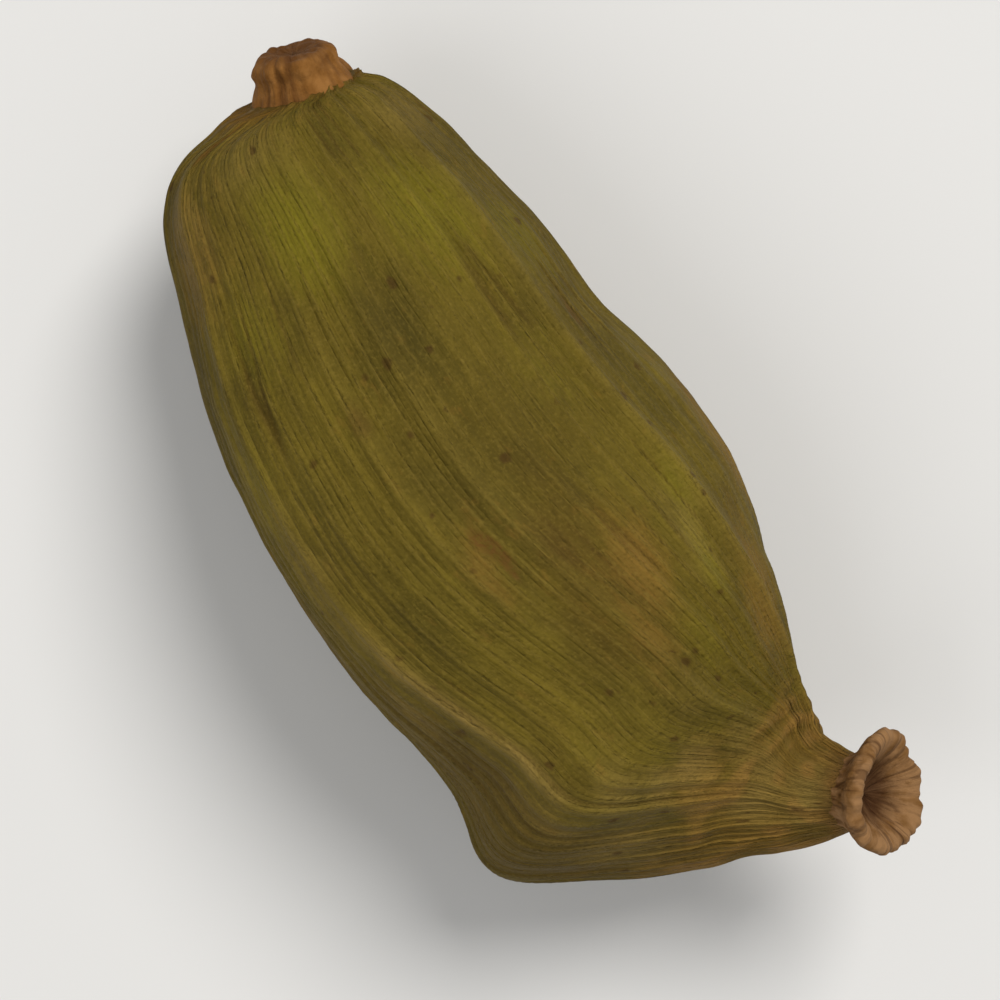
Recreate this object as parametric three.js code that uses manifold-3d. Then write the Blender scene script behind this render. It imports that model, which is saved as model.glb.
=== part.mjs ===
// A green cardamom pod, whole and closed, lying on its side: the husk, the stub of its stalk, and the
// dried flower remnant on the tip of its beak. Millimetres, +Z up.
// +X runs along the pod from the stalk end to the beak, and the beak bends towards +Y.
// The origin is the middle of the small flat spot that the pod rests on.

import * as THREE from 'three';
import { mergeVertices } from 'three/addons/utils/BufferGeometryUtils.js';
import Module from 'manifold-3d';

// Driving dimensions of the husk
const HUSK_LENGTH = 13.85;
const RIDGE_RADIUS = 3.62;
const HUSK_START_X = -7.17;
const HUSK_SIDE_Y = 0.17;
const AXIS_HEIGHT = 2.96;

// Sections of the husk from the seat of the stalk to the neck. along is a share of the length. aside, lift and
// radius are shares of the ridge radius, and tall is the height of a section over its width. The section faces
// turn degrees towards +Y and pitch degrees up.
const SECTIONS = [
  { along: 0.0, aside: 0.25, lift: 0.06, radius: 0.225, tall: 0.95, turn: -12, pitch: -20 },
  { along: 0.012, aside: 0.07, lift: 0.02, radius: 0.46, tall: 0.82, turn: -6, pitch: -8 },
  { along: 0.054, aside: 0.01, lift: -0.02, radius: 0.62, tall: 0.82, turn: -2, pitch: 0 },
  { along: 0.146, aside: 0.0, lift: -0.03, radius: 0.75, tall: 0.89, turn: 0, pitch: 0 },
  { along: 0.282, aside: -0.02, lift: -0.02, radius: 0.9, tall: 0.95, turn: 0, pitch: 0 },
  { along: 0.44, aside: -0.01, lift: -0.01, radius: 0.985, tall: 0.97, turn: 0, pitch: 0 },
  { along: 0.6, aside: 0.05, lift: 0.0, radius: 1.0, tall: 0.97, turn: 2, pitch: 0 },
  { along: 0.736, aside: 0.1, lift: 0.01, radius: 0.9, tall: 1.01, turn: 5, pitch: 0 },
  { along: 0.827, aside: 0.06, lift: 0.02, radius: 0.87, tall: 0.89, turn: 9, pitch: 3 },
  { along: 0.888, aside: 0.225, lift: 0.035, radius: 0.625, tall: 0.88, turn: 16, pitch: 8 },
  { along: 0.932, aside: 0.445, lift: 0.08, radius: 0.385, tall: 0.95, turn: 32, pitch: 18 },
  { along: 0.962, aside: 0.585, lift: 0.15, radius: 0.235, tall: 1.0, turn: 53, pitch: 29 },
  { along: 0.987, aside: 0.72, lift: 0.245, radius: 0.175, tall: 1.0, turn: 61, pitch: 38 },
];

// The three blunt ridges, as angles from +Y towards +Z, and how far the face after each one dips
const RIDGES = [
  { angle: -22, dip: 0.15 },
  { angle: 138, dip: 0.1 },
  { angle: 214, dip: 0.14 },
];
const RIDGE_CREST = 1.5;
const END_DIP_SHARE = 0.3;
const BEAK_TWIST = -32;
const TWIST_START = 0.42;
const TWIST_END = 0.8;

// Veins that stand up on the husk, in degrees and millimetres. The third is on the crest of a ridge.
const VEINS = [
  { angle: 36, width: 6, height: 0.09 },
  { angle: 88, width: 7, height: 0.05 },
  { angle: 138, width: 5, height: 0.08 },
  { angle: 172, width: 7, height: 0.06 },
  { angle: 318, width: 7, height: 0.06 },
];

// Fine lengthwise ribs
const RIB_COUNT = 20;
const RIB_HEIGHT = 0.035;
const RIB_SWAY = 0.5;

// Dents in the dried skin: share of the length, angle round the husk in degrees, reach and depth
const DENTS = [
  { along: 0.36, angle: 4, reach: 1.0, depth: 0.22 },
  { along: 0.26, angle: 80, reach: 0.8, depth: 0.16 },
  { along: 0.74, angle: 96, reach: 1.5, depth: 0.12 },
  { along: 0.47, angle: 176, reach: 1.6, depth: 0.07 },
  { along: 0.76, angle: 312, reach: 1.3, depth: 0.12 },
  { along: 0.18, angle: 240, reach: 1.2, depth: 0.12 },
];

// How finely the husk is divided round and along
const SAMPLES_PER_RIB = 5;
const ROWS = 38;

// Stub of the stalk, as radius and height points from its seat to its broken top
const STUB_PROFILE = [
  [0, 0],
  [0.76, 0],
  [0.74, 0.14],
  [0.66, 0.32],
  [0.67, 0.48],
  [0.58, 0.62],
  [0.34, 0.66],
  [0, 0.58],
];

// Flower remnant, as radius and height points up its outside, over its thick rim and down into its pit
const FLOWER_PROFILE = [
  [0, 0],
  [0.59, 0],
  [0.62, 0.1],
  [0.74, 0.22],
  [0.89, 0.36],
  [0.97, 0.5],
  [0.94, 0.61],
  [0.82, 0.65],
  [0.67, 0.57],
  [0.52, 0.42],
  [0.38, 0.27],
  [0.22, 0.18],
  [0, 0.15],
];
const END_SIDES = 30;
const SEAT_GAP = 0.01;

const wasm = await Module();
wasm.setup();

const radians = THREE.MathUtils.degToRad;

// A smooth curve through the sections for each of their values
const curves = {};
for (const key of Object.keys(SECTIONS[0])) {
  curves[key] = new THREE.SplineCurve(SECTIONS.map((section, i) => new THREE.Vector2(i, section[key])));
}

// The section at a share of the way through the list: its centre and sizes, and forward, side and up directions
function sectionAt(share) {
  const value = (key) => curves[key].getPoint(share).y;
  const turn = radians(value('turn'));
  const pitch = radians(value('pitch'));
  const side = new THREE.Vector3(-Math.sin(turn), Math.cos(turn), 0);
  const forward = new THREE.Vector3(Math.cos(turn), Math.sin(turn), 0).multiplyScalar(Math.cos(pitch));
  forward.z = Math.sin(pitch);
  return {
    along: value('along'),
    centre: new THREE.Vector3(
      HUSK_START_X + value('along') * HUSK_LENGTH,
      HUSK_SIDE_Y + value('aside') * RIDGE_RADIUS,
      AXIS_HEIGHT + value('lift') * RIDGE_RADIUS,
    ),
    radius: value('radius') * RIDGE_RADIUS,
    tall: value('tall'),
    forward,
    side,
    up: forward.clone().cross(side),
  };
}

// The angle in the ridges' own turn, which twists towards the beak
function untwisted(angle, share) {
  return angle - radians(BEAK_TWIST) * THREE.MathUtils.smoothstep(share, TWIST_START, TWIST_END);
}

// How far one angle is from another, in radians, the short way round
function angleBetween(angle, degrees) {
  const away = angle - radians(degrees);
  return Math.atan2(Math.sin(away), Math.cos(away));
}

// The radius of the three-sided form at an angle, as a share of the ridge radius
function ridgeForm(angle, dipShare) {
  const first = RIDGES[0].angle;
  const degrees = THREE.MathUtils.euclideanModulo(THREE.MathUtils.radToDeg(angle) - first, 360) + first;
  const last = RIDGES.findLastIndex((ridge) => degrees >= ridge.angle);
  const next = last + 1 < RIDGES.length ? RIDGES[last + 1].angle : first + 360;
  const across = (degrees - RIDGES[last].angle) / (next - RIDGES[last].angle);
  return 1 - dipShare * RIDGES[last].dip * Math.sin(Math.PI * across) ** RIDGE_CREST;
}

// The three-sided form is full in the middle of the husk and rounder at both ends
function dipShareAt(share) {
  const middle = Math.sin(Math.PI * share) ** 0.6;
  return END_DIP_SHARE + (1 - END_DIP_SHARE) * middle;
}

// Veins and fine ribs, lower where the husk is narrow
function reliefAt(angle, share, radius) {
  let height = 0;
  for (const vein of VEINS) {
    const away = angleBetween(angle, vein.angle) / radians(vein.width);
    height += vein.height * Math.exp(-away * away);
  }
  const sway = RIB_SWAY * Math.sin(5 * share + 3 * angle);
  const uneven = 0.7 + 0.3 * Math.cos(3 * angle + 1);
  height += RIB_HEIGHT * uneven * Math.cos(RIB_COUNT * angle + sway);
  return height * Math.sqrt(radius / RIDGE_RADIUS);
}

function dentAt(angle, along, radius) {
  let depth = 0;
  for (const dent of DENTS) {
    const aside = angleBetween(angle, dent.angle) * radius;
    const away = Math.hypot((along - dent.along) * HUSK_LENGTH, aside) / dent.reach;
    depth += dent.depth * Math.exp(-away * away);
  }
  return depth;
}

// A point on the husk at an angle from +Y towards +Z
function huskPoint(share, angle) {
  const section = sectionAt(share);
  const own = untwisted(angle, share);
  const form = section.radius * ridgeForm(own, dipShareAt(share));
  const relief = reliefAt(own, share, section.radius);
  const reach = form + relief - dentAt(angle, section.along, section.radius);
  return section.centre
    .clone()
    .addScaledVector(section.side, reach * Math.cos(angle))
    .addScaledVector(section.up, reach * section.tall * Math.sin(angle));
}

function toSolid(geometry) {
  geometry.deleteAttribute('normal');
  geometry.deleteAttribute('uv');
  const merged = mergeVertices(geometry);
  return new wasm.Manifold(
    new wasm.Mesh({
      numProp: 3,
      vertProperties: merged.getAttribute('position').array,
      triVerts: new Uint32Array(merged.getIndex().array),
    }),
  );
}

function toGeometry(solid) {
  const mesh = solid.getMesh();
  const geometry = new THREE.BufferGeometry();
  geometry.setAttribute('position', new THREE.BufferAttribute(mesh.vertProperties, 3));
  geometry.setIndex(new THREE.BufferAttribute(mesh.triVerts, 1));
  geometry.computeVertexNormals();
  return geometry;
}

// A closed skin with flat round ends, where the stalk and the flower remnant sit
function huskSkin() {
  const geometry = new THREE.SphereGeometry(1, RIB_COUNT * SAMPLES_PER_RIB, ROWS);
  const position = geometry.getAttribute('position');
  const uv = geometry.getAttribute('uv');
  for (let i = 0; i < position.count; i++) {
    const row = Math.round((1 - uv.getY(i)) * ROWS);
    const isEnd = row === 0 || row === ROWS;
    const share = THREE.MathUtils.clamp((row - 1) / (ROWS - 2), 0, 1);
    const angle = 2 * Math.PI * (1 - uv.getX(i));
    const point = isEnd ? sectionAt(share).centre : huskPoint(share, angle);
    position.setXYZ(i, point.x, point.y, point.z);
  }
  return geometry;
}

function huskMesh() {
  const below = new THREE.BoxGeometry(4 * RIDGE_RADIUS, 4 * RIDGE_RADIUS, RIDGE_RADIUS);
  below.translate(0, 0, -RIDGE_RADIUS / 2);
  const solid = toSolid(huskSkin()).subtract(toSolid(below));
  const skin = new THREE.MeshStandardMaterial({ color: '#625224', roughness: 0.6, metalness: 0 });
  const mesh = new THREE.Mesh(toGeometry(solid), skin);
  mesh.name = 'husk';
  return mesh;
}

// A turned profile made uneven round its axis
function unevenLathe(profile, sway) {
  const points = profile.map(([radius, height]) => new THREE.Vector2(radius, height));
  const geometry = new THREE.LatheGeometry(points, END_SIDES);
  const position = geometry.getAttribute('position');
  for (let i = 0; i < position.count; i++) {
    const x = position.getX(i);
    const z = position.getZ(i);
    const angle = Math.atan2(z, x);
    const uneven = 1 + sway * (Math.cos(3 * angle + 0.6) + 0.6 * Math.cos(2 * angle + 2));
    position.setXYZ(i, x * uneven, position.getY(i), z * uneven);
  }
  return geometry;
}

// Sets an end piece on a flat end of the husk, with its axis pointing away from the husk
function onSeat(geometry, section, outward, material, name) {
  const mesh = new THREE.Mesh(geometry, material);
  mesh.quaternion.setFromUnitVectors(new THREE.Vector3(0, 1, 0), outward);
  mesh.position.copy(section.centre).addScaledVector(outward, SEAT_GAP);
  mesh.name = name;
  return mesh;
}

function stubMesh() {
  const section = sectionAt(0);
  const cork = new THREE.MeshStandardMaterial({ color: '#724f25', roughness: 0.85, metalness: 0 });
  const outward = section.forward.clone().negate();
  return onSeat(unevenLathe(STUB_PROFILE, 0.05), section, outward, cork, 'stalk_stub');
}

function flowerMesh() {
  const section = sectionAt(1);
  const dry = new THREE.MeshStandardMaterial({ color: '#7f5b3a', roughness: 0.85, metalness: 0 });
  return onSeat(unevenLathe(FLOWER_PROFILE, 0.05), section, section.forward, dry, 'flower_remnant');
}

const pod = new THREE.Group();
pod.add(huskMesh(), stubMesh(), flowerMesh());

export default pod;
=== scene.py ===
import math

import bpy
import numpy as np
from mathutils import Matrix, Vector, noise


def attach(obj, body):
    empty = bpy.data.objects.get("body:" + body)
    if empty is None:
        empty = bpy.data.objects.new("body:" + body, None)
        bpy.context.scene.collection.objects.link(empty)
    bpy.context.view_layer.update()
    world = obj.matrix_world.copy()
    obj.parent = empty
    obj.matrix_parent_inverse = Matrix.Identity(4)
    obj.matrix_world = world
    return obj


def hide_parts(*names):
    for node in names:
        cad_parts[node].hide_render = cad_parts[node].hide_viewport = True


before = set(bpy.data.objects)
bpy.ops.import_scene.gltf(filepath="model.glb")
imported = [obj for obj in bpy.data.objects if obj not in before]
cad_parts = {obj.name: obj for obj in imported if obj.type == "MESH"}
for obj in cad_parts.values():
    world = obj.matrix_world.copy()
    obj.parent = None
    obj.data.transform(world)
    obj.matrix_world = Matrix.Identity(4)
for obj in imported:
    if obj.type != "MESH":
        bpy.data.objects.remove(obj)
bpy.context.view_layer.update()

MM = 0.001

# Driving dimensions of the husk in millimetres, as in the part's source
HUSK_LENGTH = 13.85
RIDGE_RADIUS = 3.62
HUSK_START_X = -7.17
HUSK_SIDE_Y = 0.17
AXIS_HEIGHT = 2.96

# Sections from the seat of the stalk to the neck: share of the length, then aside, lift and radius in
# ridge radii, height over width, then the turn towards +Y and the pitch up, in degrees
SECTIONS = np.array([
    (0.0, 0.25, 0.06, 0.225, 0.95, -12, -20),
    (0.012, 0.07, 0.02, 0.46, 0.82, -6, -8),
    (0.054, 0.01, -0.02, 0.62, 0.82, -2, 0),
    (0.146, 0.0, -0.03, 0.75, 0.89, 0, 0),
    (0.282, -0.02, -0.02, 0.9, 0.95, 0, 0),
    (0.44, -0.01, -0.01, 0.985, 0.97, 0, 0),
    (0.6, 0.05, 0.0, 1.0, 0.97, 2, 0),
    (0.736, 0.1, 0.01, 0.9, 1.01, 5, 0),
    (0.827, 0.06, 0.02, 0.87, 0.89, 9, 3),
    (0.888, 0.225, 0.035, 0.625, 0.88, 16, 8),
    (0.932, 0.445, 0.08, 0.385, 0.95, 32, 18),
    (0.962, 0.585, 0.15, 0.235, 1.0, 53, 29),
    (0.987, 0.72, 0.245, 0.175, 1.0, 61, 38),
])

# Ridges: angle from +Y towards +Z in degrees, and how far the face after each one dips
RIDGES = [(-22, 0.15), (138, 0.1), (214, 0.14)]
RIDGE_CREST = 1.5
END_DIP_SHARE = 0.3
BEAK_TWIST = -32
TWIST_START = 0.42
TWIST_END = 0.8

# Veins: angle and width in degrees, then height in millimetres
VEINS = [(36, 6, 0.09), (88, 7, 0.05), (138, 5, 0.08), (172, 7, 0.06), (318, 7, 0.06)]
USUAL_VEIN_HEIGHT = 0.06
RIB_COUNT = 20
RIB_HEIGHT = 0.035
RIB_SWAY = 0.5

# Dents: share of the length, angle in degrees, then reach and depth in millimetres
DENTS = [
    (0.36, 4, 1.0, 0.22),
    (0.26, 80, 0.8, 0.16),
    (0.74, 96, 1.5, 0.12),
    (0.47, 176, 1.6, 0.07),
    (0.76, 312, 1.3, 0.12),
    (0.18, 240, 1.2, 0.12),
]

# Where the husk changes: the neck and the end of the beak as shares of its length, and the puckered
# skin at the stalk as millimetres from its seat
NECK = (0.86, 0.95)
BEAK_DRAWN_IN = (0.968, 0.986)
BEAK_TIP = (0.977, 0.987)
STALK_END = (0.5, 2.4)

# Low relief that the scene adds to the husk: heights and depths in millimetres
NERVES_PER_RIB = 3
NERVE_HEIGHT = 0.042
CREASE_DEPTH = 0.035
LUMP_HEIGHT = 0.07
WRINKLE_HEIGHT = 0.012
STALK_END_WRINKLE_HEIGHT = 0.02
NECK_FOLD_HEIGHT = 0.04
NECK_WRINKLE_HEIGHT = 0.13
PUCKER_HEIGHT = 0.02
SEAT_RIM_HEIGHT = 0.05

# How far the pale line on the crest of a ridge reaches each way, in degrees. The line is partly the paler
# straw of the crest and partly painted highlight.
LINE_REACH = 2.6

# How finely the husk is divided round and along
HUSK_ROUND = 480
HUSK_ROWS = 206


def spline(values, share):
    """Values on a smooth curve through a list, at shares of the way through it."""
    last = len(values) - 1
    place = np.clip(share, 0, 1) * last
    near = np.minimum(place.astype(int), last)
    t = place - near
    a = values[np.maximum(near - 1, 0)]
    b = values[near]
    c = values[np.minimum(near + 1, last)]
    d = values[np.minimum(near + 2, last)]
    start, end = (c - a) / 2, (d - b) / 2
    return (2 * b - 2 * c + start + end) * t**3 + (3 * c - 3 * b - 2 * start - end) * t**2 + start * t + b


def smooth(value, low, high):
    """A smooth step from 0 at the low value to 1 at the high one."""
    share = np.clip((value - low) / (high - low), 0, 1)
    return share * share * (3 - 2 * share)


def bell(value, middle, width):
    """A bell curve that is 1 in the middle."""
    return np.exp(-(((value - middle) / width) ** 2))


def angle_between(angle, degrees):
    """How far an angle in radians is past one in degrees, from minus half a turn to half a turn."""
    away = angle - math.radians(degrees)
    return np.arctan2(np.sin(away), np.cos(away))


def perlin(x, y, z):
    """Smooth noise from -1 to 1 at each point of three arrays."""
    points = np.stack(np.broadcast_arrays(x, y, z), -1)
    flat = [noise.noise(point) for point in points.reshape(-1, 3).tolist()]
    return np.array(flat).reshape(points.shape[:-1])


def section_at(share):
    """Sections as a dictionary of their centre, sizes, and forward, side and up directions."""
    along, aside, lift, radius, tall, turn, pitch = (spline(column, share) for column in SECTIONS.T)
    turn, pitch = np.radians(turn), np.radians(pitch)
    centre = np.stack([
        HUSK_START_X + along * HUSK_LENGTH,
        HUSK_SIDE_Y + aside * RIDGE_RADIUS,
        AXIS_HEIGHT + lift * RIDGE_RADIUS,
    ], -1)
    forward = np.stack([np.cos(pitch) * np.cos(turn), np.cos(pitch) * np.sin(turn), np.sin(pitch)], -1)
    side = np.stack([-np.sin(turn), np.cos(turn), np.zeros_like(turn)], -1)
    return {
        "along": along,
        "centre": centre,
        "radius": radius * RIDGE_RADIUS,
        "tall": tall,
        "forward": forward,
        "side": side,
        "up": np.cross(forward, side),
    }


def ridge_form(angle, dip_share):
    """The radius of the three-sided form, as a share of the ridge radius."""
    first = RIDGES[0][0]
    degrees = np.mod(np.degrees(angle) - first, 360) + first
    form = np.ones_like(degrees)
    for i, (start, dip) in enumerate(RIDGES):
        end = RIDGES[i + 1][0] if i + 1 < len(RIDGES) else first + 360
        across = np.clip((degrees - start) / (end - start), 0, 1)
        form -= dip_share * dip * np.sin(np.pi * across) ** RIDGE_CREST
    return form


def veins(own):
    """The height of the veins at angles round the twisted husk."""
    height = np.zeros_like(own)
    for angle, width, tall in VEINS:
        height += tall * bell(angle_between(own, angle), 0, math.radians(width))
    return height


def dents(angle, along, radius):
    """How far the shallow dents draw the husk in."""
    depth = np.zeros(np.broadcast(angle, along).shape)
    for place, degrees, reach, deep in DENTS:
        aside = angle_between(angle, degrees) * radius
        depth += deep * np.exp(-(((along - place) * HUSK_LENGTH) ** 2 + aside**2) / reach**2)
    return depth


def rib_phase(own, share, run):
    """How many ribs a point is round from the first one, as the ribs sway and wander along the husk."""
    sway = RIB_SWAY * np.sin(5 * share + 3 * own)
    cos, sin = np.cos(own), np.sin(own)
    wander = 1.1 * perlin(cos * 1.6, sin * 1.6, run * 0.16 + 3)
    wander = wander + 0.6 * perlin(cos * 5, sin * 5, run * 0.12 + 13)
    return (RIB_COUNT * own + sway + wander) / (2 * math.pi)


def ribs(phase, times, crest):
    """Lengthwise ribs from 0 in the valleys to 1 on the crests, sharper with a higher crest."""
    return (0.5 + 0.5 * np.cos(2 * math.pi * times * phase)) ** crest


def surface_normals(points):
    """Unit normals of a grid of points in rows along the husk, pointing out."""
    around = np.roll(points, -1, axis=1) - np.roll(points, 1, axis=1)
    normals = np.cross(around, np.gradient(points, axis=0))
    return normals / np.linalg.norm(normals, axis=-1, keepdims=True)


def arc_length(points):
    """How far each row is along the surface from the first one, in millimetres."""
    steps = np.linalg.norm(np.diff(points, axis=0), axis=-1).mean(axis=1)
    return np.concatenate([[0], np.cumsum(steps)])[:, None]


def husk_form():
    """Points of the plain husk in rows along it, and where each of them is on it."""
    share = np.linspace(0, 1, HUSK_ROWS)[:, None]
    angle = (np.arange(HUSK_ROUND) * 2 * math.pi / HUSK_ROUND)[None, :]
    section = section_at(share)
    along, radius = section["along"], section["radius"]
    own = angle - math.radians(BEAK_TWIST) * smooth(share, TWIST_START, TWIST_END)
    dip_share = END_DIP_SHARE + (1 - END_DIP_SHARE) * np.sin(np.pi * share) ** 0.6
    narrow = np.sqrt(radius / RIDGE_RADIUS)

    reach = radius * ridge_form(own, dip_share) + veins(own) * narrow - dents(angle, along, radius)
    reach = reach * (1 - 0.1 * smooth(along, *BEAK_DRAWN_IN))
    points = section["centre"] + section["side"] * (reach * np.cos(angle))[..., None]
    points = points + section["up"] * (reach * section["tall"] * np.sin(angle))[..., None]
    run = arc_length(points)
    return points, {
        "share": share,
        "along": along,
        "own": own,
        "cos": np.cos(own),
        "sin": np.sin(own),
        "run": run,
        "narrow": narrow,
        "neck": smooth(along, *NECK),
        "stalk_end": 1 - smooth(run, *STALK_END),
    }


def skin_lines(at):
    """The ribs, nerves and creases of the skin, which shape its relief and its colours."""
    cos, sin, run = at["cos"], at["sin"], at["run"]
    phase = rib_phase(at["own"], at["share"], run)
    strength = np.clip(0.65 + 1.1 * perlin(cos * 3, sin * 3, run * 0.2 + 60), 0.15, 1.3)
    nerve_strength = np.clip(0.7 + 1.3 * perlin(cos * 4, sin * 4, run * 0.3 + 90), 0.1, 1.4)
    creases = bell(perlin(cos * 6, sin * 6, run * 0.05 + 20), 0, 0.035)
    return {
        "phase": phase,
        "strength": strength,
        "ribs": ribs(phase, 1, 2.4),
        "nerve_strength": nerve_strength,
        "nerves": ribs(phase, NERVES_PER_RIB, 2.0),
        "creases": creases,
        "crease_strength": smooth(perlin(cos * 2, sin * 2, run * 0.35 + 30), 0.05, 0.4),
        "neck_wrinkles": perlin(cos * 1.9, sin * 1.9, run * 2.3 + 5),
    }


def skin_relief(at, lines):
    """How far the skin stands out from the plain husk, in millimetres."""
    cos, sin, run, own, neck = at["cos"], at["sin"], at["run"], at["own"], at["neck"]
    lumps = perlin(cos * 1.7, sin * 1.7, run * 0.42 + 40) + 0.4 * perlin(cos * 4, sin * 4, run * 1.1 + 70)
    wrinkles = perlin(cos * 3.4 + 9, sin * 3.4, run * 2.9)
    folds = np.cos(9 * own + 2 * np.sin(2 * own) + 0.8)
    puckers = np.cos(15 * own + 1.2 * np.sin(3 * own))

    relief = 2 * RIB_HEIGHT * lines["strength"] * (lines["ribs"] - 0.35)
    relief = relief + NERVE_HEIGHT * lines["nerve_strength"] * (lines["nerves"] - 0.4)
    relief = relief - CREASE_DEPTH * lines["creases"] * lines["crease_strength"]
    relief = relief + LUMP_HEIGHT * lumps
    relief = relief + (WRINKLE_HEIGHT + STALK_END_WRINKLE_HEIGHT * at["stalk_end"]) * wrinkles
    relief = relief + neck * (NECK_FOLD_HEIGHT * folds + NECK_WRINKLE_HEIGHT * lines["neck_wrinkles"])
    relief = relief + PUCKER_HEIGHT * puckers * bell(run, 1.1, 0.6)
    relief = relief * at["narrow"] + SEAT_RIM_HEIGHT * bell(run, 0.34, 0.13)
    return relief * smooth(run, 0.0, 0.15) * (1 - smooth(at["along"], *BEAK_TIP))


def skin_values(points, at, lines):
    """The values that the finish of the husk is drawn from, by the names that its material reads."""
    around = RIDGE_RADIUS * at["cos"], RIDGE_RADIUS * at["sin"]
    along, run, own, neck = at["along"], at["run"], at["own"], at["neck"]
    values = {
        "fibre": np.stack(np.broadcast_arrays(*around, run), -1),
        "crest": lines["ribs"] * lines["strength"],
        "nerve": lines["nerves"] * lines["nerve_strength"],
        "vein": veins(own) / USUAL_VEIN_HEIGHT,
        "crease": lines["creases"] * lines["crease_strength"],
        "neck": neck,
        # Painted highlight on the raised crests of the neck's wrinkles
        "neck_fold_highlight": neck * smooth(lines["neck_wrinkles"], 0.0, 0.35),
        "tip": smooth(along, 0.972, 0.987),
        "stalk_end": at["stalk_end"],
        "scar_ring": bell(run, 0.2, 0.26),
        "ridge": ridge_lines(own, along),
        "painted_shade": painted_shade_face(own, along),
        "lime": patches(points, LIME_PATCHES),
        "dark": patches(points, DARK_PATCHES),
        "brown": patches(points, BROWN_PATCHES),
        "tan": patches(points, TAN_PATCHES),
        "pale_and_painted_light": patches(points, PALE_AND_PAINTED_LIGHT_PATCHES),
    }
    for name, given in values.items():
        if given.ndim == 2:
            values[name] = np.broadcast_to(given, points.shape[:-1])
    return values


def husk_grid():
    """Points of the husk in rows along it, the values of its finish, and its ribs counted round it."""
    form, at = husk_form()
    lines = skin_lines(at)
    points = form + surface_normals(form) * skin_relief(at, lines)[..., None]
    points[..., 2] = np.maximum(points[..., 2], 0)
    phase = lines["phase"]
    turned = np.append(phase, phase[:, :1] + RIB_COUNT, axis=1)
    return points, skin_values(points, at, lines), turned


def closed_mesh(name, points, first, last, attributes):
    """A mesh from rows of points round an axis, closed by a point at each end, in metres."""
    rows, around = points.shape[:2]
    vertices = np.concatenate([points.reshape(-1, 3), [first, last]]) * MM
    index = np.arange(rows * around).reshape(rows, around)
    turned = np.roll(index, -1, axis=1)
    quads = np.stack([index[:-1], index[1:], turned[1:], turned[:-1]], -1).reshape(-1, 4)
    start, end = rows * around, rows * around + 1
    caps = [(start, a, b) for a, b in zip(index[0], turned[0])]
    caps += [(end, b, a) for a, b in zip(index[-1], turned[-1])]
    mesh = bpy.data.meshes.new(name)
    mesh.from_pydata(vertices.tolist(), [], quads.tolist() + [tuple(map(int, cap)) for cap in caps])
    mesh.update()
    mesh.shade_smooth()
    for key, values in attributes.items():
        depth = values.shape[2] if values.ndim == 3 else 1
        flat = values.reshape(-1, depth)
        ends = np.stack([flat[:around].mean(0), flat[-around:].mean(0)])
        kind, field = ("FLOAT_VECTOR", "vector") if depth == 3 else ("FLOAT", "value")
        layer = mesh.attributes.new(key, kind, "POINT")
        layer.data.foreach_set(field, np.concatenate([flat, ends]).astype(np.float32).ravel())
    piece = bpy.data.objects.new(name, mesh)
    bpy.context.collection.objects.link(piece)
    return piece


def add_corner_values(mesh, name, values):
    """A value at each corner of each face, from a grid that ends with its first column again, a turn on."""
    quads = np.stack([values[:-1, :-1], values[1:, :-1], values[1:, 1:], values[:-1, 1:]], -1)
    first = np.stack([values[0, :-1], values[0, :-1], values[0, 1:]], -1)
    last = np.stack([values[-1, :-1], values[-1, 1:], values[-1, :-1]], -1)
    layer = mesh.attributes.new(name, "FLOAT", "CORNER")
    flat = np.concatenate([quads.ravel(), first.ravel(), last.ravel()])
    layer.data.foreach_set("value", flat.astype(np.float32))


def husk_piece():
    points, values, phase = husk_grid()
    piece = closed_mesh("husk_skin", points, points[0].mean(0), points[-1].mean(0), values)
    add_corner_values(piece.data, "phase", phase)
    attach(piece, "root")
    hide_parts("husk")
    piece.data.materials.append(husk_material())
    return piece


# Patches of colour on the husk, one dark patch of them painted shadow and some pale ones painted light:
# place in millimetres, reach along and across, and strength
LIME_PATCHES = [
    ((-5.2, -0.1, 5.1), 1.4, 0.7, 1.0),
    ((-4.5, 1.7, 4.7), 1.3, 0.8, 0.9),
    ((-3.4, 2.7, 4.1), 1.0, 0.6, 0.6),
    ((1.1, 2.8, 4.9), 0.7, 0.3, 0.8),
    ((2.0, 2.6, 4.9), 0.9, 0.3, 1.0),
    ((3.0, 1.9, 5.3), 0.9, 0.4, 0.5),
    ((4.1, -0.5, 5.7), 1.0, 0.6, 0.25),
    ((-2.3, -2.7, 4.9), 1.8, 0.7, 0.5),
    ((-4.2, -1.5, 5.1), 1.2, 0.7, 0.5),
    ((-1.7, 2.2, 5.4), 1.2, 0.7, 0.4),
    ((1.1, -2.6, 1.2), 2.4, 1.6, 0.6),
    ((-2.9, 1.0, 0.4), 2.0, 1.4, 0.6),
]
DARK_PATCHES = [
    ((-3.1, 0.4, 5.6), 1.3, 0.6, 0.9),
    ((-0.5, 0.3, 6.1), 1.6, 0.8, 0.5),
    ((0.8, -1.5, 5.9), 1.3, 0.6, 0.6),
    ((3.3, 0.4, 6.0), 1.2, 0.7, 0.35),
    ((5.3, 1.9, 4.4), 0.6, 0.5, 0.5),
    ((-0.5, -2.0, 0.8), 2.0, 1.0, 0.5),
    # Painted shadow: this last dark patch darkens the gap below the upper ridge, where shade falls
    ((3.0, -2.35, 4.7), 0.8, 0.35, 0.8),
]
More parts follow.
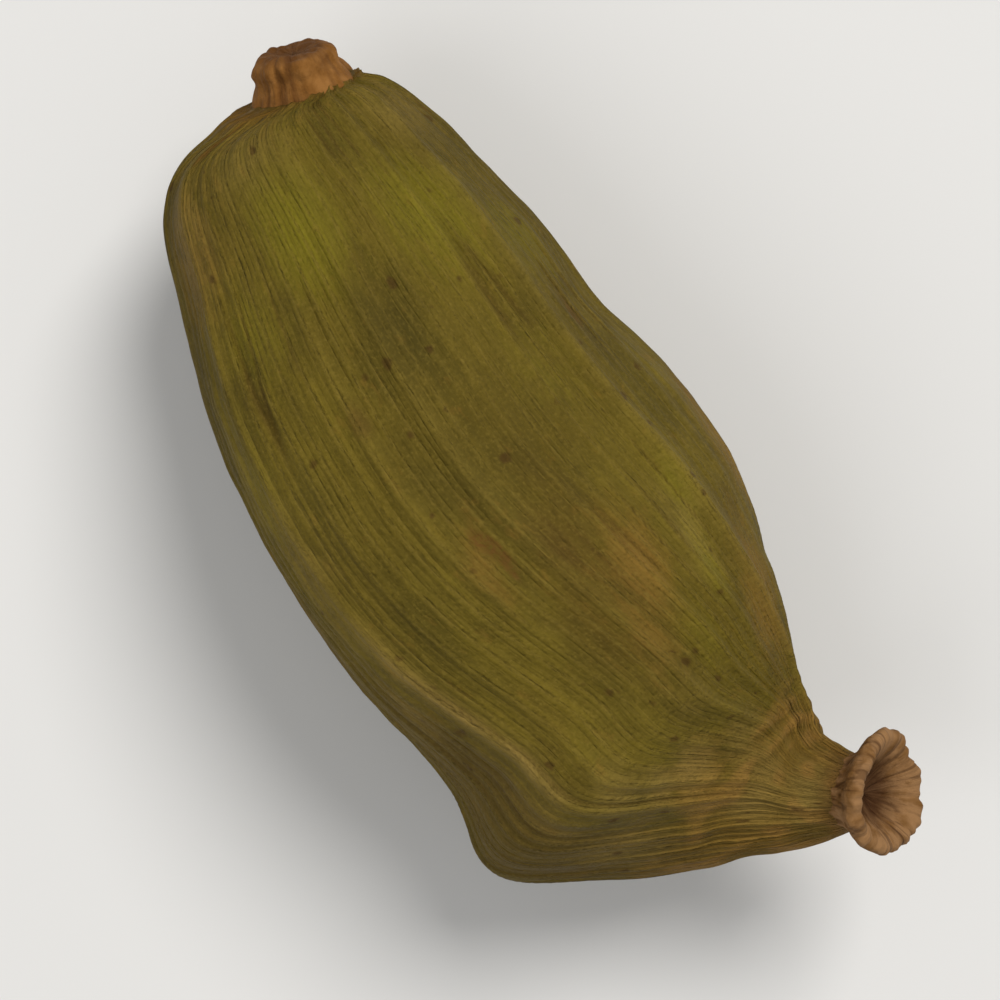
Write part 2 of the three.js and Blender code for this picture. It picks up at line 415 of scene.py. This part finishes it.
BROWN_PATCHES = [
    ((-2.2, -0.8, 6.0), 0.4, 0.25, 0.9),
    ((-0.1, 3.8, 2.8), 0.5, 0.4, 0.9),
    ((1.3, 0.9, 6.0), 1.9, 0.8, 0.6),
    ((5.3, -1.6, 3.0), 1.8, 1.5, 0.5),
    ((3.1, -2.6, 2.6), 1.8, 1.2, 0.4),
    ((3.4, -0.6, 5.9), 1.2, 0.6, 0.35),
    ((1.6, 3.4, 3.85), 0.6, 0.35, 0.6),
    ((-2.6, 2.8, 4.2), 1.0, 0.35, 0.4),
    ((-4.5, -1.8, 1.6), 1.5, 1.2, 0.4),
    ((2.7, 2.2, 0.9), 1.8, 1.4, 0.5),
]
TAN_PATCHES = [
    ((-5.7, -1.7, 4.2), 1.5, 0.7, 0.7),
    ((0.5, -0.3, 6.2), 0.9, 0.3, 0.6),
    ((1.7, 1.7, 5.7), 0.9, 0.5, 0.9),
    ((2.7, 1.3, 5.8), 0.8, 0.4, 0.6),
    ((0.9, 3.9, 2.6), 1.4, 0.8, 0.8),
    ((3.3, 3.2, 3.9), 1.3, 0.8, 0.9),
    ((5.0, 0.8, 5.0), 0.6, 0.6, 1.0),
    ((5.8, 1.5, 4.3), 0.7, 0.8, 1.0),
    ((6.4, 2.2, 4.0), 0.6, 0.7, 1.0),
    ((0.3, -3.0, 2.6), 1.7, 1.2, 0.5),
    ((-3.3, 2.4, 1.2), 1.6, 1.2, 0.5),
    ((-1.5, 0.6, 0.2), 1.8, 1.3, 0.5),
]
# Paler straw patches, partly the husk's own paler colour and partly painted light: the left flank and the
# face below the upper ridge lightened, a painted highlight along that ridge, and painted highlights on the
# neck
PALE_AND_PAINTED_LIGHT_PATCHES = [
    ((-6.1, 2.1, 3.7), 0.8, 0.9, 0.6),
    ((-6.5, -0.2, 4.5), 0.7, 0.9, 0.5),
    ((-6.1, -1.6, 4.2), 1.2, 0.7, 0.5),
    ((-2.4, -2.8, 4.7), 1.6, 0.5, 0.5),
    ((-0.9, -2.6, 5.2), 1.5, 0.5, 0.5),
    ((1.7, 2.6, 4.95), 0.9, 0.4, 0.7),
    ((5.4, -0.7, 4.3), 1.5, 0.8, 0.8),
    ((3.9, 1.4, 5.5), 0.8, 0.6, 0.35),
    ((1.9, -2.4, 4.75), 0.9, 0.4, 0.9),
    ((4.5, -1.4, 5.2), 1.2, 0.6, 0.5),
    ((4.5, -0.3, 5.5), 0.8, 0.5, 0.8),
    ((4.75, 0.25, 5.25), 0.5, 0.4, 1.0),
    ((4.8, 0.8, 5.1), 0.5, 0.5, 1.0),
    ((5.4, 1.7, 4.3), 0.5, 0.5, 1.0),
    ((5.8, 1.45, 4.35), 0.5, 0.5, 1.3),
    ((4.8, 1.7, 4.6), 0.6, 0.5, 0.7),
    ((6.2, 2.15, 4.2), 0.6, 0.6, 1.4),
]


def patches(points, places):
    """How strongly each point is tinted by a list of patches, which fade out from their middles."""
    mask = np.zeros(points.shape[:-1])
    for place, long, wide, strength in places:
        away = (points - np.array(place)) / np.array([long, wide, wide])
        mask = np.maximum(mask, strength * np.exp(-(away**2).sum(axis=-1)))
    return mask


def ridge_lines(own, along):
    """How near a point is to the pale crest of a ridge, partly the ridge's paler straw and partly painted
    highlight, which fades out towards both ends of the husk.
    """
    line = np.zeros(np.broadcast(own, along).shape)
    for angle, _ in RIDGES:
        line = np.maximum(line, bell(angle_between(own, angle), 0, math.radians(LINE_REACH)))
    return line * smooth(along, 0.5, 0.62) * (1 - smooth(along, 0.76, 0.86))


def painted_shade_face(own, along):
    """Painted shade: a browner tint on the face below the upper ridge, where that face lies in shade, which
    draws down from the ridge at the beak.
    """
    below = np.degrees(angle_between(own, RIDGES[1][0])) - 18 * smooth(along, 0.8, 0.95)
    return smooth(below, 3, 12) * (1 - smooth(below, 45, 70)) * smooth(along, 0.45, 0.75)


def turned_rows(profile, rows, around, origin, outward):
    """A profile turned round an axis: shares, angles, radii and heights, and a call that places points."""
    outward = outward / np.linalg.norm(outward)
    across = np.cross([0, 0, 1], outward)
    across = across / np.linalg.norm(across)
    over = np.cross(outward, across)
    share = np.linspace(0, 1, rows)[:, None]
    angle = (np.arange(around) * 2 * math.pi / around)[None, :]
    radius, height = (spline(column, share) for column in np.array(profile).T)

    def place(radius, height):
        ring = across * np.cos(angle)[..., None] + over * np.sin(angle)[..., None]
        return origin + ring * np.asarray(radius)[..., None] + outward * np.asarray(height)[..., None]

    return share, angle, radius, height, place


# Stub of the stalk: how finely it is divided, radius and height points, and relief, in millimetres
STUB_ROUND = 160
STUB_ROWS = 90
STUB_PROFILE = [
    (0.86, -0.28), (0.83, -0.06), (0.79, 0.05), (0.73, 0.16), (0.67, 0.3), (0.66, 0.44),
    (0.61, 0.56), (0.49, 0.63), (0.34, 0.63), (0.19, 0.59), (0.05, 0.57),
]
STUB_GROOVE_HEIGHT = 0.11
STUB_FIBRE_HEIGHT = 0.035
STUB_BARK_HEIGHT = 0.03
STUB_TORN_HEIGHT = 0.09
STUB_TILT_HEIGHT = 0.05
STUB_TOP_RADIUS = 0.6

# Flower remnant, in the same way. The crinkles and ragged edge of its rim widen it by a share and lift it.
FLOWER_ROUND = 180
FLOWER_ROWS = 150
FLOWER_PROFILE = [
    (0.5, -0.25), (0.56, -0.1), (0.6, 0.02), (0.65, 0.12), (0.76, 0.24), (0.89, 0.37), (0.96, 0.49),
    (0.94, 0.6), (0.83, 0.65), (0.68, 0.57), (0.53, 0.42), (0.4, 0.28), (0.27, 0.18), (0.14, 0.13),
    (0.03, 0.12),
]
FLOWER_RIBS = 13
FLOWER_RIB_HEIGHT = 0.007
FLOWER_CRINKLE = {"wide": 0.06, "high": 0.08}
FLOWER_RAGGED = {"wide": 0.03, "high": 0.05}
FLOWER_SKIN_HEIGHT = {"out": 0.022, "up": 0.02}
FLOWER_GRAIN_HEIGHT = 0.01
FLOWER_CRACK_DEPTH = {"out": 0.02, "up": 0.025}
FLOWER_LEAST_RADIUS = 0.02

# The fibres in the finish of both ends are drawn as on a rod of this radius in millimetres
END_FIBRE_RADIUS = 0.7


def uneven_ring(angle):
    """The radius of a ring that is a little off round, as a share of its mean."""
    return 1 + 0.05 * np.cos(3 * angle + 0.6) + 0.03 * np.cos(2 * angle + 2)


def stub_piece():
    section = section_at(np.array([0.0]))
    share, angle, radius, height, place = turned_rows(
        STUB_PROFILE, STUB_ROWS, STUB_ROUND, section["centre"][0], -section["forward"][0]
    )
    side = 1 - smooth(share, 0.55, 0.75)
    cos, sin = np.cos(angle), np.sin(angle)
    groove = perlin(cos * 3.2, sin * 3.2, height * 0.7 + 2)
    fibres = perlin(cos * 8, sin * 8, height * 1.6)
    bark = perlin(cos * 5, sin * 5, height * 6)
    torn = perlin(radius * cos * 7, radius * sin * 7, 3.0)
    out = radius * uneven_ring(angle)
    out = out + side * (STUB_GROOVE_HEIGHT * groove + STUB_FIBRE_HEIGHT * fibres) + STUB_BARK_HEIGHT * bark
    top = STUB_TORN_HEIGHT * torn + STUB_TILT_HEIGHT * np.cos(angle + 0.5)
    lift = height + (1 - side) * top * (radius / STUB_TOP_RADIUS)
    points = place(out, lift)
    piece = closed_mesh("stalk_stub_bark", points, points[0].mean(0), points[-1].mean(0), {
        "fibre": np.stack(np.broadcast_arrays(cos * END_FIBRE_RADIUS, sin * END_FIBRE_RADIUS, lift), -1),
        "crest": np.broadcast_to(smooth(groove + 0.4 * fibres, -0.35, 0.25), lift.shape),
        "broken": np.broadcast_to(1 - side, lift.shape),
    })
    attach(piece, "root")
    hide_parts("stalk_stub")
    piece.data.materials.append(end_material("stalk_cork", STUB_COLOURS, "broken"))
    return piece


def flower_piece():
    section = section_at(np.array([1.0]))
    share, angle, radius, height, place = turned_rows(
        FLOWER_PROFILE, FLOWER_ROWS, FLOWER_ROUND, section["centre"][0], section["forward"][0]
    )
    rim = smooth(share, 0.3, 0.5) * (1 - smooth(share, 0.65, 0.85))
    inside = smooth(share, 0.55, 0.7)
    # The pit of the remnant, where its ribs fade out and where painted shade darkens the hollow
    pit = smooth(share, 0.66, 0.84)
    rib = np.cos(FLOWER_RIBS * angle + 1.6 * np.sin(2 * angle) + 0.9 * np.sin(3 * angle + 1))
    cos, sin = np.cos(angle), np.sin(angle)
    crinkle = perlin(cos * 2.1, sin * 2.1, height * 1.5 + 5)
    ragged = perlin(cos * 9, sin * 9, height * 2.0 + 8)
    skin = perlin(cos * 6, sin * 6, height * 6)
    cracks = bell(perlin(cos * 5, sin * 5, height * 0.8 + 3), 0, 0.05)
    grain = perlin(cos * 15, sin * 15, height * 14)
    out = radius * uneven_ring(angle)
    out = out * (1 + rim * (FLOWER_CRINKLE["wide"] * crinkle + FLOWER_RAGGED["wide"] * ragged))
    out = out + FLOWER_RIB_HEIGHT * rib * (1 - pit) + FLOWER_SKIN_HEIGHT["out"] * skin
    out = out + FLOWER_GRAIN_HEIGHT * grain - FLOWER_CRACK_DEPTH["out"] * cracks * (1 - inside)
    lift = height + rim * (FLOWER_CRINKLE["high"] * crinkle + FLOWER_RAGGED["high"] * ragged)
    lift = lift + inside * (FLOWER_SKIN_HEIGHT["up"] * skin - FLOWER_CRACK_DEPTH["up"] * cracks)
    points = place(np.maximum(out, FLOWER_LEAST_RADIUS), lift)
    piece = closed_mesh("flower_remnant_ring", points, points[0].mean(0), points[-1].mean(0), {
        "fibre": np.stack(np.broadcast_arrays(cos * END_FIBRE_RADIUS, sin * END_FIBRE_RADIUS, lift), -1),
        "crest": np.broadcast_to(0.7 + 0.3 * rib - cracks, lift.shape),
        # Painted shade down in the pit
        "pit": np.broadcast_to(pit, lift.shape),
        # The rim and inner wall made paler, partly their own colour and partly painted light
        "pale_and_painted_light": smooth(share, 0.4, 0.55) * (1 - pit) * smooth(crinkle + skin, -0.5, 0.3),
    })
    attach(piece, "root")
    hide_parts("flower_remnant")
    piece.data.materials.append(end_material("flower_dry", FLOWER_COLOURS, "pit"))
    return piece


# Colours, as linear red, green and blue
OLIVE = (0.1, 0.07, 0.0085)
YELLOW_OLIVE = (0.14, 0.102, 0.0115)
DEEP_OLIVE = (0.055, 0.041, 0.006)
LIME = (0.168, 0.142, 0.0095)
BROWN = (0.092, 0.052, 0.009)
TAN = (0.215, 0.12, 0.022)
STRAW = (0.21, 0.15, 0.028)
# Pale straw, also used for the painted highlight along the ridges and the painted light in the pale patches
PALE_STRAW_AND_HIGHLIGHT = (0.28, 0.19, 0.05)
# Painted highlight on the crests of the neck's folds
FOLD_HIGHLIGHT_TAN = (0.36, 0.19, 0.048)
RUST = (0.1, 0.036, 0.009)
SPECK = (0.048, 0.02, 0.006)
# Painted shade: the browner tint of the face below the upper ridge
PAINTED_SHADE_BROWN = (0.112, 0.07, 0.017)
WARM = (1, 0.85, 0.5, 1)
STUB_COLOURS = {
    "main": (0.175, 0.071, 0.014),
    "light": (0.26, 0.117, 0.03),
    "dark": (0.085, 0.031, 0.008),
}
FLOWER_COLOURS = {
    "main": (0.17, 0.08, 0.024),
    "light": (0.27, 0.145, 0.062),
    "dark": (0.035, 0.01, 0.004),
}

# Lines and bumps of the husk's finish: each bump as its texture, depth in millimetres and strength
HAIRS_PER_RIB = 9
SKIN_BUMPS = [
    ("thin_nerves", 0.018, 1.0),
    ("hairs", 0.012, 1.0),
    ("threads", 0.05, 0.8),
    ("cross", 0.04, 0.8),
    ("mottle", 0.09, 0.6),
    ("grain", 0.02, 0.8),
]


class Graph:
    """A material's node tree, with a short call for each kind of node that the finishes use."""

    def __init__(self, name):
        self.material = bpy.data.materials.new(name)
        self.material.use_nodes = True
        self.tree = self.material.node_tree
        self.tree.nodes.clear()
        output = self.tree.nodes.new("ShaderNodeOutputMaterial")
        self.shader = self.tree.nodes.new("ShaderNodeBsdfPrincipled")
        self.tree.links.new(self.shader.outputs["BSDF"], output.inputs["Surface"])

    def feed(self, socket, value):
        """A socket linked to another one, or set to a number or a colour."""
        if isinstance(value, bpy.types.NodeSocket):
            self.tree.links.new(value, socket)
        elif isinstance(value, tuple) and len(socket.default_value) == 4:
            socket.default_value = (*value, 1)
        else:
            socket.default_value = value

    def attribute(self, name, output="Fac"):
        node = self.tree.nodes.new("ShaderNodeAttribute")
        node.attribute_name = name
        return node.outputs[output]

    def stretch(self, vector, scale):
        node = self.tree.nodes.new("ShaderNodeMapping")
        self.feed(node.inputs["Vector"], vector)
        node.inputs["Scale"].default_value = scale
        return node.outputs["Vector"]

    def noise(self, vector, scale, detail=3.0, rough=0.55):
        node = self.tree.nodes.new("ShaderNodeTexNoise")
        self.feed(node.inputs["Vector"], vector)
        node.inputs["Scale"].default_value = scale
        node.inputs["Detail"].default_value = detail
        node.inputs["Roughness"].default_value = rough
        return node.outputs["Fac"]

    def warp(self, vector, scale, amount):
        """Places moved about by noise, so that what is drawn at them gets an uneven outline."""
        wobble = self.tree.nodes.new("ShaderNodeTexNoise")
        self.feed(wobble.inputs["Vector"], vector)
        wobble.inputs["Scale"].default_value = scale
        move = self.tree.nodes.new("ShaderNodeVectorMath")
        move.operation = "MULTIPLY_ADD"
        self.feed(move.inputs[0], wobble.outputs["Color"])
        move.inputs[1].default_value = (amount, amount, amount)
        self.feed(move.inputs[2], vector)
        return move.outputs["Vector"]

    def spots(self, vector, scale, rare, size):
        """Spots of many sizes, in the share of the cells above a rarity."""
        node = self.tree.nodes.new("ShaderNodeTexVoronoi")
        self.feed(node.inputs["Vector"], vector)
        node.inputs["Scale"].default_value = scale
        reach = self.span(node.outputs["Color"], rare, 1.0, 0.0, size)
        inside = self.math("SUBTRACT", reach, node.outputs["Distance"])
        return self.span(inside, 0.0, 0.3 * size)

    def wave(self, phase, times):
        """A wave from -1 to 1, a number of times in each whole step of the phase."""
        return self.math("COSINE", self.times(phase, 2 * math.pi * times))

    def ragged(self, mask, texture):
        """A smooth patch given an uneven edge by a noise texture."""
        return self.times(mask, self.span(self.math("ADD", self.times(mask, 0.4), texture), 0.5, 0.72))

    def span(self, value, low, high, out_low=0.0, out_high=1.0):
        """The value moved from one range to another and kept inside it."""
        node = self.tree.nodes.new("ShaderNodeMapRange")
        names = ("Value", "From Min", "From Max", "To Min", "To Max")
        for name, given in zip(names, (value, low, high, out_low, out_high)):
            self.feed(node.inputs[name], given)
        return node.outputs["Result"]

    def math(self, operation, *values):
        node = self.tree.nodes.new("ShaderNodeMath")
        node.operation = operation
        for socket, value in zip(node.inputs, values):
            self.feed(socket, value)
        return node.outputs["Value"]

    def times(self, first, second):
        return self.math("MULTIPLY", first, second)

    def mix(self, factor, first, second):
        """The first colour, with a share of the second laid over it."""
        node = self.tree.nodes.new("ShaderNodeMix")
        node.data_type = "RGBA"
        self.feed(node.inputs["Factor"], factor)
        self.feed(node.inputs["A"], first)
        self.feed(node.inputs["B"], second)
        return node.outputs["Result"]

    def bump(self, height, distance, strength=1.0, normal=None):
        node = self.tree.nodes.new("ShaderNodeBump")
        node.inputs["Strength"].default_value = strength
        node.inputs["Distance"].default_value = distance
        self.feed(node.inputs["Height"], height)
        if normal is not None:
            self.feed(node.inputs["Normal"], normal)
        return node.outputs["Normal"]


def skin_textures(g):
    """The noises and fine lines that the colours and bumps of the husk are drawn with, by name."""
    fibre = g.attribute("fibre", "Vector")
    phase = g.attribute("phase")
    mottle = g.noise(g.stretch(fibre, (1, 1, 0.6)), 3.2, 6, 0.65)
    threads = g.noise(g.stretch(fibre, (9, 9, 0.5)), 1.0, 4, 0.6)
    hairs = g.span(g.wave(phase, HAIRS_PER_RIB), -0.2, 1.0)
    nerves = g.span(g.wave(phase, NERVES_PER_RIB), 0.55, 1.0)
    return {
        "fibre": fibre,
        "broad": g.noise(fibre, 0.35, 3),
        "blotch": g.noise(g.stretch(fibre, (1, 1, 0.45)), 1.1, 5, 0.62),
        "mottle": mottle,
        "threads": threads,
        "cross": g.noise(g.stretch(fibre, (4, 4, 11)), 1.0, 3, 0.55),
        "grain": g.noise(fibre, 16, 5, 0.65),
        "hairs": g.times(hairs, g.span(threads, 0.42, 0.6, 0.15, 1.0)),
        "thin_nerves": g.times(nerves, g.span(mottle, 0.38, 0.55, 0.2, 1.0)),
    }


def skin_ground(g, textures):
    """The olive ground of the husk and the soft patches of other colours on it, with painted shade on the
    face below the upper ridge, painted shadow in one dark patch, and painted light in some of the pale
    patches.
    """
    blotch, mottle = textures["blotch"], textures["mottle"]
    colour = g.mix(g.span(textures["broad"], 0.38, 0.62), OLIVE, YELLOW_OLIVE)
    colour = g.mix(g.span(blotch, 0.47, 0.64, 0, 0.6), colour, DEEP_OLIVE)
    colour = g.mix(g.ragged(g.attribute("lime"), mottle), colour, LIME)
    # Darker olive patches, one of which is painted shadow in the gap below the upper ridge
    colour = g.mix(g.ragged(g.attribute("dark"), mottle), colour, DEEP_OLIVE)
    colour = g.mix(g.ragged(g.attribute("brown"), blotch), colour, BROWN)
    # Painted shade, browner, on the face below the upper ridge
    colour = g.mix(g.times(g.attribute("painted_shade"), 0.75), colour, PAINTED_SHADE_BROWN)
    tan = g.math("MAXIMUM", g.attribute("tan"), g.times(g.attribute("neck"), 0.8))
    tan = g.math("MAXIMUM", tan, g.times(g.attribute("stalk_end"), 0.35))
    colour = g.mix(g.ragged(tan, mottle), colour, TAN)
    # Pale straw patches, partly own colour and partly painted light on the left flank, the lower face, the
    # upper ridge and the neck
    return g.mix(g.times(g.ragged(g.attribute("pale_and_painted_light"), mottle), 0.6), colour, PALE_STRAW_AND_HIGHLIGHT)


def add_skin_lines(g, textures, colour):
    """The colour with the ribs, nerves, threads, veins, ridges, folds and creases drawn over it. The pale
    ridge lines are partly painted highlight, and the lighter tan on the crests of the neck folds is painted
    highlight.
    """
    ridge = g.times(g.attribute("ridge"), g.span(textures["mottle"], 0.35, 0.55, 0.35, 0.8))
    colour = g.mix(g.span(g.attribute("crest"), 0.3, 1.2, 0, 0.15), colour, STRAW)
    colour = g.mix(g.span(g.attribute("nerve"), 0.5, 0.0, 0, 0.2), colour, DEEP_OLIVE)
    colour = g.mix(g.times(textures["thin_nerves"], 0.32), colour, STRAW)
    colour = g.mix(g.times(textures["hairs"], 0.22), colour, STRAW)
    colour = g.mix(g.span(textures["threads"], 0.48, 0.32, 0, 0.26), colour, DEEP_OLIVE)
    colour = g.mix(g.span(g.attribute("vein"), 0.5, 1.3, 0, 0.15), colour, STRAW)
    # Pale ridge lines: partly the paler straw of the crests and partly painted highlight along them
    colour = g.mix(ridge, colour, PALE_STRAW_AND_HIGHLIGHT)
    # Painted highlight, a lighter tan, on the crests of the neck folds
    colour = g.mix(g.times(g.attribute("neck_fold_highlight"), 0.5), colour, FOLD_HIGHLIGHT_TAN)
    return g.mix(g.times(g.attribute("crease"), 0.4), colour, SPECK)


def add_skin_marks(g, textures, colour):
    """The colour with grain, scabs and freckles over it, and the tint at both ends of the husk."""
    fibre, mottle, grain = textures["fibre"], textures["mottle"], textures["grain"]
    scabs = g.spots(g.warp(g.stretch(fibre, (1, 1, 0.4)), 3.0, 0.5), 1.0, 0.55, 0.3)
    freckles = g.spots(g.warp(fibre, 6.0, 0.15), 2.2, 0.52, 0.34)
    colour = g.mix(g.span(grain, 0.53, 0.66, 0, 0.32), colour, STRAW)
    colour = g.mix(g.span(grain, 0.46, 0.34, 0, 0.32), colour, DEEP_OLIVE)
    colour = g.mix(g.span(mottle, 0.6, 0.72, 0, 0.35), colour, TAN)
    colour = g.mix(g.times(scabs, g.span(grain, 0.4, 0.6, 0.2, 0.7)), colour, RUST)
    colour = g.mix(g.times(freckles, 0.6), colour, SPECK)
    colour = g.mix(g.times(g.attribute("tip"), 0.55), colour, FLOWER_COLOURS["main"])
    return g.mix(g.times(g.attribute("scar_ring"), 0.5), colour, STUB_COLOURS["main"])


def skin_bumps(g, textures):
    """The finest relief of the husk, drawn as bumps."""
    normal = None
    for name, depth, strength in SKIN_BUMPS:
        normal = g.bump(textures[name], depth * MM, strength, normal)
    return normal


def husk_material():
    """The dry, papery finish of the husk."""
    g = Graph("husk_skin")
    textures = skin_textures(g)
    colour = skin_ground(g, textures)
    colour = add_skin_lines(g, textures, colour)
    colour = add_skin_marks(g, textures, colour)
    g.feed(g.shader.inputs["Base Color"], colour)
    g.feed(g.shader.inputs["Roughness"], g.span(textures["mottle"], 0.3, 0.7, 0.5, 0.72))
    g.shader.inputs["IOR"].default_value = 1.45
    g.shader.inputs["Specular IOR Level"].default_value = 0.14
    g.shader.inputs["Specular Tint"].default_value = WARM
    g.feed(g.shader.inputs["Normal"], skin_bumps(g, textures))
    return g.material


def end_material(name, colours, dark_mask):
    """The dry, corky finish of the stalk stub and the flower remnant, with painted shade down in the
    remnant's pit and paler colour, partly painted light, on its rim and inner wall.
    """
    g = Graph(name)
    fibre = g.attribute("fibre", "Vector")
    crest = g.attribute("crest")
    threads = g.noise(g.stretch(fibre, (9, 9, 1.6)), 1.0, 5, 0.6)
    mottle = g.noise(fibre, 4, 5, 0.6)
    grain = g.noise(fibre, 22, 4, 0.6)
    # Lighter with the mottle, and on the rim and inner wall of the flower remnant, partly as painted light
    light = g.math("ADD", g.span(mottle, 0.4, 0.62), g.attribute("pale_and_painted_light"))
    colour = g.mix(g.span(light, 0.0, 1.0), colours["main"], colours["light"])
    colour = g.mix(g.span(threads, 0.5, 0.3, 0, 0.6), colour, colours["dark"])
    colour = g.mix(g.span(crest, 0.45, 0.0, 0, 0.5), colour, colours["dark"])
    # Darkest on the broken top of the stub, and as painted shade down in the pit of the flower remnant
    deep = g.times(g.attribute(dark_mask), g.span(mottle, 0.25, 0.65, 1.0, 0.7))
    colour = g.mix(deep, colour, colours["dark"])
    g.feed(g.shader.inputs["Base Color"], colour)
    g.feed(g.shader.inputs["Roughness"], g.span(grain, 0.3, 0.7, 0.7, 0.9))
    g.shader.inputs["Specular IOR Level"].default_value = 0.22
    g.shader.inputs["Specular Tint"].default_value = WARM
    normal = g.bump(threads, 0.05 * MM, 0.8)
    normal = g.bump(grain, 0.02 * MM, 0.8, normal)
    g.feed(g.shader.inputs["Normal"], normal)
    return g.material


# The camera looks straight down, rolled so that the pod lies as in the photograph
IMAGE_RIGHT = Vector((0.512, 0.859, 0)).normalized()
IMAGE_UP = Vector((-0.859, 0.512, 0)).normalized()
CAMERA_AIM = Vector((-0.14 * MM, 0.4 * MM, 2.9 * MM))
FRAME_WIDTH = 15.6 * MM
LENS = 120
SENSOR = 36
CAMERA_RANGE = (1 * MM, 4)

# The floor reaches this far from the pod each way, in metres
FLOOR_REACH = 2


def make_camera():
    data = bpy.data.cameras.new("camera")
    data.lens = LENS
    data.sensor_width = SENSOR
    data.clip_start, data.clip_end = CAMERA_RANGE
    camera = bpy.data.objects.new("camera", data)
    distance = FRAME_WIDTH * LENS / SENSOR
    camera.matrix_world = Matrix.Translation(CAMERA_AIM + Vector((0, 0, distance))) @ Matrix(
        (IMAGE_RIGHT, IMAGE_UP, (0, 0, 1))
    ).transposed().to_4x4()
    bpy.context.collection.objects.link(camera)
    bpy.context.scene.camera = camera


def make_floor():
    corners = [(x * FLOOR_REACH, y * FLOOR_REACH, 0) for x, y in ((-1, -1), (1, -1), (1, 1), (-1, 1))]
    mesh = bpy.data.meshes.new("floor")
    mesh.from_pydata(corners, [], [(0, 1, 2, 3)])
    floor = bpy.data.objects.new("floor", mesh)
    bpy.context.collection.objects.link(floor)
    g = Graph("floor")
    g.feed(g.shader.inputs["Base Color"], (0.69, 0.695, 0.7))
    g.shader.inputs["Roughness"].default_value = 0.8
    floor.data.materials.append(g.material)


def make_light(name, direction, distance, size, power, colour=(1, 1, 1)):
    """A round lamp that faces the pod, with its distance and size in metres and its power in watts."""
    data = bpy.data.lights.new(name, "AREA")
    data.shape = "DISK"
    data.size = size
    data.energy = power
    data.color = colour
    light = bpy.data.objects.new(name, data)
    away = direction.normalized()
    light.location = away * distance
    light.rotation_mode = "QUATERNION"
    light.rotation_quaternion = away.to_track_quat("Z", "Y")
    bpy.context.collection.objects.link(light)


def make_lights():
    up = Vector((0, 0, 1))
    make_light(
        "key",
        direction=IMAGE_UP * 0.6 + IMAGE_RIGHT * 0.4 + up * 1.0,
        distance=0.6,
        size=0.3,
        power=2.9,
        colour=(1, 0.97, 0.92),
    )
    make_light(
        "fill",
        direction=-IMAGE_UP * 0.4 - IMAGE_RIGHT * 0.6 + up * 0.9,
        distance=0.7,
        size=0.5,
        power=1.2,
    )
    world = bpy.data.worlds.new("studio")
    world.use_nodes = True
    background = world.node_tree.nodes["Background"]
    background.inputs["Color"].default_value = (1, 0.98, 0.94, 1)
    background.inputs["Strength"].default_value = 0.37
    bpy.context.scene.world = world
    bpy.context.scene.view_settings.view_transform = "Standard"


make_camera()
make_floor()
make_lights()
husk_piece()
stub_piece()
flower_piece()
